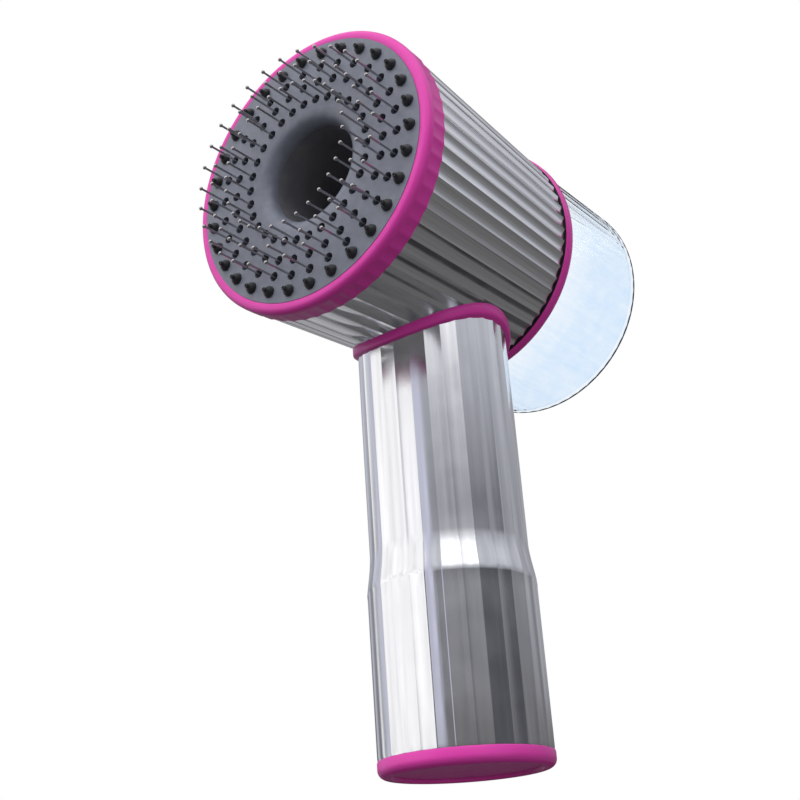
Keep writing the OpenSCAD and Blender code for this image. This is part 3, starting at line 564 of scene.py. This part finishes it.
def handle():
    """Fluted grip: thirty hollows, a slow flare near the foot that ends in a crisp crease, and a saddle cut on top."""
    top, depth, button_r, sharp = 106.0, 0.23, 6.3, 22
    waist = [(z, 21.3 + 0.4 * (z - 56.6) / 72.6) for z in (top, 98, 90, 80, 70, 62, 56.6)]
    flare = [(55.2, 21.34), (53.0, 21.54), (51.0, 21.8), (49.0, 22.12), (47.2, 22.4), (45.9, 22.56)]
    below = [(45.5, 22.54), (44.6, 22.48), (42.0, 22.45), (30.0, 22.38), (16.0, 22.28), (5.0, 22.2), (4.0, 22.1)]
    levels = [(z, r, depth) for z, r in waist + flare + below]
    inside = rounded([(4.0, 20.1), (43.6, 20.1), (43.6, 19.2), (top, 19.2)])
    bm = ring_up(levels + inside, 30, 12)
    for v in bm.verts:
        if v.co.z > top - 0.01:
            v.co.z = saddle(v.co.x, v.co.y, COLLAR)
    made = piece("grip_shell", bm, "casing", "bright_metal", ["handle_shell"], None, sharp, PLATED_GRIP)
    bore = ring_up(rounded([(0, button_r), (12, button_r)]), 1, 64, closed=False)
    bmesh.ops.holes_fill(bore, edges=bore.edges, sides=0)
    inward = Matrix.Translation((0, 26, BUTTON_Z)) @ Matrix.Rotation(math.pi / 2, 4, "X")
    bmesh.ops.transform(bore, matrix=inward, verts=bore.verts)
    drill(made, bore, sharp)


def drill(made, bore, sharp):
    """Cuts a shape, drawn in millimetres, out of a finished piece."""
    bmesh.ops.scale(bore, vec=(MM, MM, MM), verts=bore.verts)
    bmesh.ops.recalc_face_normals(bore, faces=bore.faces)
    mesh = to_mesh("bore", bore)
    cutter = put("bore", mesh)
    cut = made.modifiers.new("bore", "BOOLEAN")
    cut.object = cutter
    cut.solver = "EXACT"
    whole = made.data
    shape = bpy.data.meshes.new_from_object(made.evaluated_get(bpy.context.evaluated_depsgraph_get()))
    made.modifiers.clear()
    made.data = shape
    shape.name = whole.name
    shape.set_sharp_from_angle(angle=math.radians(sharp))
    bpy.data.meshes.remove(whole)
    bpy.data.objects.remove(cutter)
    bpy.data.meshes.remove(mesh)


def collar():
    """Magenta saddle between the handle and the drum, its outer edges eased."""
    inner, outer, ease, tall, slip = 19.2, 23.0, 0.55, 2.95, 0.02
    profile = [(0.0, inner), (0.0, outer - ease), (0.12, outer - 0.2), (0.5, outer), (2.4, outer),
               (tall - 0.1, outer - 0.2), (tall, outer - ease), (tall, inner)]
    bm = ring_up(rounded(profile), 60, 3)
    for v in bm.verts:
        v.co.z = saddle(v.co.x, v.co.y, COLLAR - slip - v.co.z)
    made = piece("saddle_collar", bm, "casing", "magenta", ["handle_collar"], None, 40)
    made.visible_glossy = False  # its image in the flutes would be far too strong


def end_cap():
    """Magenta cap with a round rim and a shallow dish under it."""
    r, rim_r, deep, core, top, spigot, groove = 22.3, 2.1, 0.9, 0.4, 9.0, 19.8, 18.1
    dish = [(deep, core), (deep, 18.2), (0.82, 18.6), (0.5, 18.8), (0.2, 18.85), (0.04, 19.0), (0.0, 19.3)]
    rim = arc((rim_r, r - rim_r), rim_r, -90, 0, 12)
    inside = [(3.6, r), (3.88, r - 0.1), (3.95, 22.0), (3.95, spigot), (6.0, spigot), (6.0, groove), (8.1, groove),
              (8.1, spigot), (8.7, spigot), (top, 19.5), (top, core)]
    bm = ring_up(rounded(dish + rim + inside), 60, 3)
    close_core(bm, (deep, top), core + 0.1)
    made = piece("foot_cap", bm, "base_cap", "magenta", ["end_cap"], None, 35)
    refinish(made, MAGENTA_DULL, lambda f, forward, r: f.normal.z < -0.7 and f.center.z < 2 * MM)


# ---------- tank ----------

def tank():
    """Clear cup with shallow flutes outside, a round back edge and a neck that plugs into the drum."""
    r, back, front, wall, depth, core = 37.4, -64.6, -24.6, 1.2, 0.16, 0.5
    neck_r, neck_in, neck_front, shoulder = 33.6, 31.6, -11.5, 2.2
    edge_long, edge_band = 1.2, 0.66
    corner = rounded([(back, r - 0.8), (back + 0.06, r - 0.5), (back + 0.23, r - 0.23), (back + 0.5, r - 0.06),
                      (back + 0.8, r)])
    side = [(back + 1.25, r, depth), (-44.0, r, depth), (front - 0.4, r, depth), (front, r - 0.3, depth)]
    neck = [(front, neck_r), (neck_front, neck_r), (neck_front, neck_in), (front - shoulder, neck_in)]
    bed, bore = back + wall, r - wall
    inside = [(front - shoulder, bore), (bed + 0.4, bore), (bed, bore - 0.4), (bed, core), (back, core)]
    bm = ring_up(corner + side + rounded(neck + inside), 60, 8)
    close_core(bm, (bed, back), core + 0.1)
    made = piece("tank_cup", bm, "tank_unit", "clear_tank", ["tank"], HEAD, 10)
    # The outer band of the back edge gets the dark rim material, a painted shade.
    refinish(made, TANK_RIM_PAINTED_SHADE, lambda f, forward, out: forward < back + edge_long and out > r - edge_band)


def valve_coil():
    """Steel coil behind the valve, four turns of 0.5 mm wire. The real coil shortens towards the valve as that opens;
    this one is drawn at one length.
    """
    coil, wire, start, end, turns, stroke = 2.8, 0.25, 14.53, 19.12, 4, 1.5
    steps = 24 * turns
    rise = (end - start - 2 * wire) / steps
    bm = bmesh.new()
    bmesh.ops.create_circle(bm, segments=8, radius=wire, matrix=Matrix.Translation((coil, start + wire, HEAD_Z)))
    bmesh.ops.spin(bm, geom=all_of(bm), cent=(0, 0, HEAD_Z), axis=(0, -1, 0), dvec=(0, rise, 0),
                   angle=2 * math.pi * turns, steps=steps)
    bmesh.ops.holes_fill(bm, edges=[e for e in bm.edges if e.is_boundary], sides=0)
    made = piece("valve_coil", bm, "tank_valve", "steel", ["valve_spring"], None, 60)
    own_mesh(made)


# ---------- controls ----------

def slider_knob():
    """Magenta thumb slide that lies along the top of the drum, its rim eased, with five cross grooves."""
    wide, start, end, thick, corner, ease, gap = 14.0, 1.0, 33.0, 3.0, 5.0, 0.8, 0.4
    groove, pitch = ((-0.85, 0.0), (-0.5, 0.38), (0.0, 0.55), (0.5, 0.38), (0.85, 0.0)), 3
    middle = (start + end) / 2
    bm = bmesh.new()
    bmesh.ops.create_cube(bm, size=1)
    bmesh.ops.scale(bm, vec=(wide, end - start, thick), verts=bm.verts)
    bmesh.ops.translate(bm, vec=(0, middle, thick / 2), verts=bm.verts)
    posts = [e for e in bm.edges if abs(e.verts[0].co.z - e.verts[1].co.z) > 1]
    bmesh.ops.bevel(bm, geom=posts, offset=corner, offset_type="OFFSET", segments=8, profile=0.5,
                    affect="EDGES", material=-1)
    rim = [e for e in bm.edges if all(v.co.z > thick - 0.01 for v in e.verts)]
    bmesh.ops.bevel(bm, geom=rim, offset=ease, offset_type="OFFSET", segments=4, profile=0.5,
                    affect="EDGES", material=-1)
    for k in range(-6, 7):
        bmesh.ops.bisect_plane(bm, geom=all_of(bm), dist=1e-4, plane_co=(k, 0, 0), plane_no=(1, 0, 0))
    for k in range(-2, 3):
        for off, drop in groove:
            place = middle + pitch * k + off
            bmesh.ops.bisect_plane(bm, geom=all_of(bm), dist=1e-4, plane_co=(0, place, 0), plane_no=(0, 1, 0))
            for v in bm.verts:
                if abs(v.co.y - place) < 1e-3 and v.co.z > thick - ease - 0.1:
                    v.co.z -= drop
    for v in bm.verts:
        forward, height = v.co.y, v.co.z
        radius = drum_radius(forward) + gap
        angle = v.co.x / radius
        v.co = Vector((math.sin(angle) * (radius + height), math.cos(angle) * (radius + height), forward))
    piece("thumb_slide", bm, "pin_carriage", "magenta", ["slider_knob"], HEAD, 40)


def power_button():
    """Round magenta button on the back of the grip, its face very slightly dished."""
    root, face, r, core = 16.2, 22.7, 6.0, 0.3
    profile = [(root, core), (root, r), (face - 0.9, r), (face - 0.45, r - 0.1), (face - 0.12, 5.6), (face, 5.2),
               (face - 0.04, 4.6), (face - 0.2, 2.8), (face - 0.27, core)]
    bm = ring_up(rounded(profile), 1, 64, closed=False)
    bmesh.ops.holes_fill(bm, edges=[e for e in bm.edges if e.is_boundary], sides=0)
    turn = Matrix.Translation((0, 0, BUTTON_Z)) @ Matrix.Rotation(-math.pi / 2, 4, "X")
    piece("round_button", bm, "button", "magenta", ["power_button"], turn, 35)


# ---------- room ----------

# What the gloss mirrors, each over the ones before it: a colour, then where it fades in, is full, is full still and has
# faded out, in degrees across from the camera's own side and in degrees up from level, and its strength.
PANELS = [
    ("#A4A5AB", (112, 130, 181, 190), (4, 14, 91, 99), 1.0),
    ("#A4A5AB", (-190, -181, -168, -156), (4, 14, 91, 99), 1.0),
    ("#302E30", (122, 132, 160, 170), (-80, -68, -34, -26), 1.0),
    ("#D4D5D8", (164, 174, 181, 190), (-42, -34, -8, 0), 0.6),
    ("#D4D5D8", (-190, -181, -164, -156), (-42, -34, -8, 0), 0.6),
    ("#FFFFFF", (-122, -112, -44, -38), (-12, -4, 70, 80), 1.08),
    ("#FFFFFF", (-22, -15, 31, 39), (24, 30, 60, 75), 1.6),
    ("#C9CBDC", (-27, -23, -18, -11), (-5, 0, 32, 38), 1.05),
    ("#525358", (28, 38, 72, 84), (-30, -20, 12, 26), 1.0),
    ("#C9CBD8", (-150, -140, -124, -118), (-20, -10, 60, 70), 0.9),
    ("#444549", (136, 144, 158, 166), (33, 38, 47, 52), 1.0),
]


def panel(tree, below, side, rise, colour, sides, rises, strength):
    """Hangs one soft-edged panel in the room, over the tone that is already there."""
    cover = 1.0
    for angle, edges in ((side, sides), (rise, rises)):
        for start, end in ((edges[0], edges[1]), (edges[3], edges[2])):
            gate = add(tree, "ShaderNodeMapRange", {"interpolation_type": "SMOOTHSTEP"}, Value=angle,
                       From_Min=math.radians(start), From_Max=math.radians(end)).outputs["Result"]
            cover = add(tree, "ShaderNodeMath", {"operation": "MULTIPLY"}, i0=cover, i1=gate).outputs[0]
    lit = tuple(c * strength for c in linear(colour)[:3]) + (1,)
    return add(tree, "ShaderNodeMix", {"data_type": "RGBA"}, i0=cover, i6=below, i7=lit).outputs[2]


def room():
    """Pale studio: bright soft panels to the left and above, a dark side to the right and below, and plain white
    wherever the camera looks past the part or through it."""
    world = bpy.data.worlds.new("pale_studio")
    bpy.context.scene.world = world
    world.use_nodes = True
    tree = world.node_tree
    tree.nodes.clear()
    toward = add(tree, "ShaderNodeTexCoord").outputs["Generated"]
    way = add(tree, "ShaderNodeSeparateXYZ", Vector=toward)
    x, y, z = way.outputs
    front = add(tree, "ShaderNodeMath", {"operation": "MULTIPLY"}, i0=y, i1=-1.0).outputs[0]
    side = add(tree, "ShaderNodeMath", {"operation": "ARCTAN2"}, i0=x, i1=front).outputs[0]
    turned = add(tree, "ShaderNodeMath", {"operation": "SUBTRACT"}, i0=side,
                 i1=math.radians(CAMERA_SIDE)).outputs[0]
    side = add(tree, "ShaderNodeMath", {"operation": "WRAP"}, i0=turned, i1=math.pi, i2=-math.pi).outputs[0]
    rise = add(tree, "ShaderNodeMath", {"operation": "ARCSINE"}, i0=z).outputs[0]
    level = add(tree, "ShaderNodeMapRange", Value=rise, From_Min=-math.pi / 2, From_Max=math.pi / 2).outputs["Result"]
    tone = add(tree, "ShaderNodeValToRGB", Fac=level, stops=[
        (0.0, linear("#5E5E5E")), (0.45, linear("#696969")), (0.5, linear("#6D6D6E")), (0.545, linear("#777779")),
        (0.58, linear("#8C8E93")), (0.61, linear("#A4A6AD")), (0.65, linear("#C4C6CE")), (0.69, linear("#D4D6DE")),
        (0.74, linear("#FFFFFF")), (1.0, linear("#FFFFFF"))]).outputs["Color"]
    for row in PANELS:
        tone = panel(tree, tone, side, rise, *row)
    patch = add(tree, "ShaderNodeTexNoise", Vector=toward, Scale=9.0, Detail=3.0, Roughness=0.6).outputs["Fac"]
    uneven = add(tree, "ShaderNodeMapRange", Value=patch, From_Min=0.3, From_Max=0.7, To_Min=0.7, To_Max=1.3)
    tone = add(tree, "ShaderNodeVectorMath", {"operation": "SCALE"}, i0=tone, Scale=uneven.outputs["Result"]).outputs[0]
    light = add(tree, "ShaderNodeBackground", Color=tone, Strength=1.0)
    white = add(tree, "ShaderNodeBackground", Color=linear("#FFFFFF"), Strength=1.0)
    ray = add(tree, "ShaderNodeLightPath")
    seen = add(tree, "ShaderNodeMath", {"operation": "MAXIMUM"}, i0=ray.outputs["Is Camera Ray"],
               i1=ray.outputs["Is Transmission Ray"]).outputs[0]
    both = add(tree, "ShaderNodeMixShader", Fac=seen, i1=light.outputs[0], i2=white.outputs[0])
    add(tree, "ShaderNodeOutputWorld", Surface=both.outputs[0])


def soft_box(name, side, rise, size, power):
    """Hangs a square soft box, side and rise in degrees. It stays out of reflections, which show the panels instead."""
    away, middle = 1.5, Vector((0, 0, 0.12))
    data = bpy.data.lights.new(name, "AREA")
    data.size = size
    data.energy = power
    made = put(name, data)
    turn, lift = math.radians(side + CAMERA_SIDE), math.radians(rise)
    way = Vector((math.sin(turn) * math.cos(lift), -math.cos(turn) * math.cos(lift), math.sin(lift)))
    made.location = middle + away * way
    made.rotation_euler = (-way).to_track_quat("-Z", "Y").to_euler()
    made.visible_glossy = False


def floor():
    """Plain pale floor, well below the raised part. It takes no part in reflections. White paper is matt, and its
    fibre is drawn coarser than the real one, which is too fine to show."""
    half, below = 1.6, 0.45
    bm = bmesh.new()
    bmesh.ops.create_grid(bm, x_segments=1, y_segments=1, size=half)
    bmesh.ops.translate(bm, vec=(0, 0, -below), verts=bm.verts)
    mesh = to_mesh("floor", bm)
    made = put("floor", mesh)
    material, tree, face, where = finish("matt_white_paper", Roughness=0.8)
    fibre = add(tree, "ShaderNodeTexNoise", Vector=where, Scale=every(8), Detail=3.0).outputs["Fac"]
    tint = add(tree, "ShaderNodeValToRGB", stops=[(0.3, linear("#F2F2F2")), (0.7, linear("#F5F5F5"))], Fac=fibre)
    tree.links.new(tint.outputs["Color"], face["Base Color"])
    mesh.materials.append(material)
    made.visible_glossy = False
    made.visible_diffuse = False


# ---------- making ----------

drum()
front_ring()
rear_ring()
face_plate()
funnel()
nozzles()
handle()
collar()
end_cap()
tank()
valve_coil()
slider_knob()
power_button()

for row in frame["record"]["subparts"]:
    cad = frame["nodes"][row["node"]]
    cad.data.materials.clear()
    cad.data.materials.append(PIN_STEEL if row["node"] == "brush_pins" else SLOT_FINISH[row["material_slot"]])

room()
soft_box("key_soft_box", -45, 45, 1.0, 16)
soft_box("fill_soft_box", 35, -14, 1.2, 9.5)
floor()
bpy.context.scene.view_settings.view_transform = "Standard"
